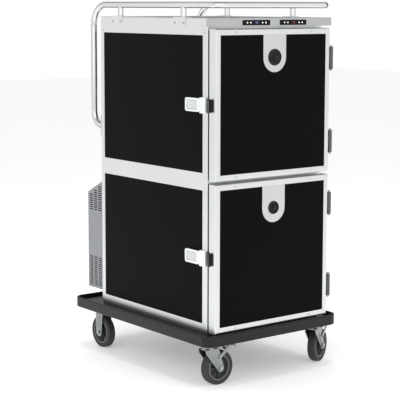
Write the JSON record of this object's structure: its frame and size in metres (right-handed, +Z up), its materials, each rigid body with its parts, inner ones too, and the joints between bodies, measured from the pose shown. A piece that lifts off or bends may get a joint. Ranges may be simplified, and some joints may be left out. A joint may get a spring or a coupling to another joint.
{
  "type": "hostess trolley",
  "caption": "Insulated two-door meal trolley on a bumper base with swivel and fixed castors, gallery rail, push handles, controllers and a rear cooling unit.",
  "frame": {"origin": "on the floor, under the middle of the bumper", "axes": "+X to the right as seen from the doors, +Y to the rear, +Z up; the doors face -Y"},
  "size_m": [0.7992, 1.03, 1.615],
  "materials": {
    "black_moulding": "moulded, satin",
    "painted_chassis": "matt powder coat",
    "anodised_profile": "clear anodised, fine satin",
    "dark_plinth": "satin",
    "grey_strip": "satin",
    "black_laminate": "smooth satin coat on a foam-filled board",
    "board_skin": "plain sheet on a foam-filled board",
    "cover_sheet": "brushed",
    "stainless_liner": "fine grain",
    "black_gloss": "gloss",
    "hinge_metal": "satin zinc",
    "bright_casting": "bright plated",
    "catch_plastic": "satin",
    "rail_tube": "polished stainless tube",
    "zinc_plate": "zinc plated",
    "unit_sheet": "light grey coat",
    "compressor_enamel": "gloss enamel",
    "condenser_fin": "mill finish",
    "fan_plastic": "moulded",
    "hub_plastic": "moulded nylon",
    "tyre_rubber": "matt",
    "gasket_rubber": "soft, matt"
  },
  "bodies": {
    "cabinet": {"bumper_tray": "black_moulding", "chassis_frame": "painted_chassis", "corner_posts": "anodised_profile", "side_rails": "anodised_profile", "cross_rails": "anodised_profile", "plinth": "dark_plinth", "base_strip": "grey_strip", "side_panels": "black_laminate", "rear_panels": "black_laminate", "deck_panels": "board_skin", "top_cover": "cover_sheet", "liners": "stainless_liner", "tray_runners": "stainless_liner", "air_ducts": "stainless_liner", "control_fascia": "cover_sheet", "cold_controller": "black_gloss", "hot_controller": "black_gloss", "cabinet_hinge_leaves": "hinge_metal", "hinge_pins": "hinge_metal", "latch_bases": "bright_casting", "latch_catches": "catch_plastic", "gallery_rail": "rail_tube", "rail_brackets": "anodised_profile", "fasteners": "zinc_plate", "unit_cover": "unit_sheet", "compressor": "compressor_enamel", "condenser": "condenser_fin", "mains_inlet": "black_moulding", "caster_plates": "zinc_plate", "rear_forks": "zinc_plate", "rear_axles": "zinc_plate"},
    "left_caster": {"left_fork": "zinc_plate", "left_axle": "zinc_plate"},
    "right_caster": {"right_fork": "zinc_plate", "right_axle": "zinc_plate"},
    "left_brake": {"left_pedal": "zinc_plate"},
    "right_brake": {"right_pedal": "zinc_plate"},
    "front_left_wheel": {"front_left_hub": "hub_plastic", "front_left_tyre": "tyre_rubber"},
    "front_right_wheel": {"front_right_hub": "hub_plastic", "front_right_tyre": "tyre_rubber"},
    "rear_left_wheel": {"rear_left_hub": "hub_plastic", "rear_left_tyre": "tyre_rubber"},
    "rear_right_wheel": {"rear_right_hub": "hub_plastic", "rear_right_tyre": "tyre_rubber"},
    "upper_latch": {"upper_paddle": "bright_casting"},
    "lower_latch": {"lower_paddle": "bright_casting"},
    "upper_door": {"upper_door_frame": "anodised_profile", "upper_door_panel": "black_laminate", "upper_gasket": "gasket_rubber", "upper_vent_plate": "cover_sheet", "upper_door_fittings": "hinge_metal"},
    "upper_vent": {"upper_vent_knob": "catch_plastic"},
    "lower_door": {"lower_door_frame": "anodised_profile", "lower_door_panel": "black_laminate", "lower_gasket": "gasket_rubber", "lower_vent_plate": "cover_sheet", "lower_door_fittings": "hinge_metal"},
    "lower_vent": {"lower_vent_knob": "catch_plastic"},
    "fan": {"condenser_fan": "fan_plastic"}
  },
  "joints": [
    {"name": "upper_door_hinge", "type": "hinge", "parent": "cabinet", "child": "upper_door", "pos_m": [0.332, -0.486, 1.1905], "axis": [0, 0, 1], "range_deg": [0, 270]},
    {"name": "lower_door_hinge", "type": "hinge", "parent": "cabinet", "child": "lower_door", "pos_m": [0.332, -0.486, 0.5495], "axis": [0, 0, 1], "range_deg": [0, 270]},
    {"name": "upper_latch_pivot", "type": "hinge", "parent": "cabinet", "child": "upper_latch", "pos_m": [-0.324, -0.408, 1.1905], "axis": [0, 0, 1], "range_deg": [0, 70], "stiffness_Nm_per_rad": 0.4},
    {"name": "lower_latch_pivot", "type": "hinge", "parent": "cabinet", "child": "lower_latch", "pos_m": [-0.324, -0.408, 0.5495], "axis": [0, 0, 1], "range_deg": [0, 70], "stiffness_Nm_per_rad": 0.4},
    {"name": "upper_vent_turn", "type": "hinge", "parent": "upper_door", "child": "upper_vent", "pos_m": [0, -0.493, 1.384], "axis": [0, 1, 0], "range_deg": [0, 60]},
    {"name": "lower_vent_turn", "type": "hinge", "parent": "lower_door", "child": "lower_vent", "pos_m": [0, -0.493, 0.744], "axis": [0, 1, 0], "range_deg": [0, 60]},
    {"name": "left_caster_swivel", "type": "hinge", "parent": "cabinet", "child": "left_caster", "pos_m": [-0.3, -0.43, 0.165], "axis": [0, 0, 1], "continuous": true},
    {"name": "left_brake_pivot", "type": "hinge", "parent": "left_caster", "child": "left_brake", "pos_m": [-0.262, -0.43, 0.122], "axis": [0, 1, 0], "range_deg": [0, 12]},
    {"name": "front_left_axle", "type": "hinge", "parent": "left_caster", "child": "front_left_wheel", "pos_m": [-0.255, -0.43, 0.075], "axis": [0, 1, 0], "continuous": true},
    {"name": "right_caster_swivel", "type": "hinge", "parent": "cabinet", "child": "right_caster", "pos_m": [0.3, -0.43, 0.165], "axis": [0, 0, 1], "continuous": true},
    {"name": "right_brake_pivot", "type": "hinge", "parent": "right_caster", "child": "right_brake", "pos_m": [0.33471, -0.41454, 0.122], "axis": [-0.4067, 0.9135, 0], "range_deg": [0, 12]},
    {"name": "front_right_axle", "type": "hinge", "parent": "right_caster", "child": "front_right_wheel", "pos_m": [0.34111, -0.4117, 0.075], "axis": [-0.4067, 0.9135, 0], "continuous": true},
    {"name": "rear_left_axle", "type": "hinge", "parent": "cabinet", "child": "rear_left_wheel", "pos_m": [-0.288, 0.385, 0.075], "axis": [1, 0, 0], "continuous": true},
    {"name": "rear_right_axle", "type": "hinge", "parent": "cabinet", "child": "rear_right_wheel", "pos_m": [0.288, 0.385, 0.075], "axis": [1, 0, 0], "continuous": true},
    {"name": "condenser_fan_shaft", "type": "hinge", "parent": "cabinet", "child": "fan", "pos_m": [-0.255, 0.4075, 0.355], "axis": [1, 0, 0], "continuous": true}
  ]
}
